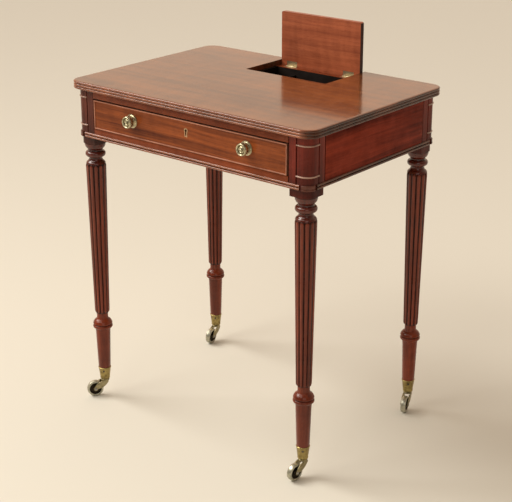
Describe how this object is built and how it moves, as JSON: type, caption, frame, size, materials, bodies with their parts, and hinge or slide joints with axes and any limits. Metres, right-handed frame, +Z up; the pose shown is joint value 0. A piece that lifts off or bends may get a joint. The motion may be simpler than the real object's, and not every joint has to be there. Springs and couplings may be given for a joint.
{
  "type": "writing table",
  "caption": "Small mahogany writing table on reeded tapering legs with castors, a frieze drawer with turned knobs, and a hinged flap over a pen well.",
  "frame": {"origin": "on the floor under the middle of the bounding box, which runs from the knob tips to the back edge of the top", "axes": "+X along the front to the right, +Y from the drawer to the back, +Z up"},
  "size_m": [0.635, 0.4596, 0.8374],
  "materials": {
    "mahogany": "french polished red-brown mahogany",
    "lining_oak": "planed, unpolished",
    "stained_lining": "dark stain",
    "brass": "worn polish",
    "steel": "dull"
  },
  "bodies": {
    "carcass": {"table_top": "mahogany", "leg_front_left": "mahogany", "leg_front_right": "mahogany", "leg_back_left": "mahogany", "leg_back_right": "mahogany", "back_rail": "mahogany", "left_side_rail": "mahogany", "right_side_rail": "mahogany", "front_top_rail": "mahogany", "front_bottom_rail": "mahogany", "frieze_beads": "mahogany", "drawer_runner_left": "lining_oak", "drawer_runner_right": "lining_oak", "drawer_kickers": "lining_oak", "drawer_stops": "lining_oak", "top_screws": "steel", "top_glue_blocks": "lining_oak", "well_front": "stained_lining", "well_left": "stained_lining", "well_right": "stained_lining", "well_bottom": "stained_lining", "well_dividers": "stained_lining", "hinge_leaves_fixed": "brass", "hinge_pins": "brass", "hinge_screws_fixed": "brass", "castor_cup_front_left": "brass", "castor_cup_front_right": "brass", "castor_cup_back_left": "brass", "castor_cup_back_right": "brass", "castor_screws": "steel"},
    "drawer": {"drawer_front": "mahogany", "drawer_side_left": "lining_oak", "drawer_side_right": "lining_oak", "drawer_back": "lining_oak", "drawer_bottom": "lining_oak", "drawer_cockbead": "mahogany", "knob_left": "brass", "knob_right": "brass", "knob_roses": "brass", "knob_nuts": "steel", "escutcheon": "brass", "lock_case": "brass", "lock_screws": "steel"},
    "bolt": {"lock_bolt": "steel"},
    "flap": {"pen_flap": "mahogany", "hinge_leaves_flap": "brass", "hinge_screws_flap": "brass"},
    "swivel_front_left": {"castor_horn_front_left": "brass", "castor_axle_front_left": "steel"},
    "wheel_front_left": {"castor_wheel_front_left": "brass"},
    "swivel_front_right": {"castor_horn_front_right": "brass", "castor_axle_front_right": "steel"},
    "wheel_front_right": {"castor_wheel_front_right": "brass"},
    "swivel_back_left": {"castor_horn_back_left": "brass", "castor_axle_back_left": "steel"},
    "wheel_back_left": {"castor_wheel_back_left": "brass"},
    "swivel_back_right": {"castor_horn_back_right": "brass", "castor_axle_back_right": "steel"},
    "wheel_back_right": {"castor_wheel_back_right": "brass"}
  },
  "joints": [
    {"name": "drawer_slide", "type": "slide", "parent": "carcass", "child": "drawer", "axis": [0, -1, 0], "range_m": [0, 0.2]},
    {"name": "bolt_lift", "type": "slide", "parent": "drawer", "child": "bolt", "axis": [0, 0, 1], "range_m": [0, 0.007]},
    {"name": "flap_hinge", "type": "hinge", "parent": "carcass", "child": "flap", "pos_m": [0.013, 0.20675, 0.717], "axis": [1, 0, 0], "range_deg": [0, 90]},
    {"name": "swivel_front_left", "type": "hinge", "parent": "carcass", "child": "swivel_front_left", "pos_m": [-0.281, -0.18675, 0.039], "axis": [0, 0, 1], "continuous": true},
    {"name": "roll_front_left", "type": "hinge", "parent": "swivel_front_left", "child": "wheel_front_left", "pos_m": [-0.29419, -0.20559, 0.0185], "axis": [0.8192, -0.5736, 0], "continuous": true},
    {"name": "swivel_front_right", "type": "hinge", "parent": "carcass", "child": "swivel_front_right", "pos_m": [0.281, -0.18675, 0.039], "axis": [0, 0, 1], "continuous": true},
    {"name": "roll_front_right", "type": "hinge", "parent": "swivel_front_right", "child": "wheel_front_right", "pos_m": [0.2786, -0.20962, 0.0185], "axis": [0.9945, -0.1045, 0], "continuous": true},
    {"name": "swivel_back_left", "type": "hinge", "parent": "carcass", "child": "swivel_back_left", "pos_m": [-0.281, 0.19325, 0.039], "axis": [0, 0, 1], "continuous": true},
    {"name": "roll_back_left", "type": "hinge", "parent": "swivel_back_left", "child": "wheel_back_left", "pos_m": [-0.2774, 0.17053, 0.0185], "axis": [0.9877, 0.1564, 0], "continuous": true},
    {"name": "swivel_back_right", "type": "hinge", "parent": "carcass", "child": "swivel_back_right", "pos_m": [0.281, 0.19325, 0.039], "axis": [0, 0, 1], "continuous": true},
    {"name": "roll_back_right", "type": "hinge", "parent": "swivel_back_right", "child": "wheel_back_right", "pos_m": [0.28849, 0.1715, 0.0185], "axis": [0.9455, 0.3256, 0], "continuous": true}
  ]
}
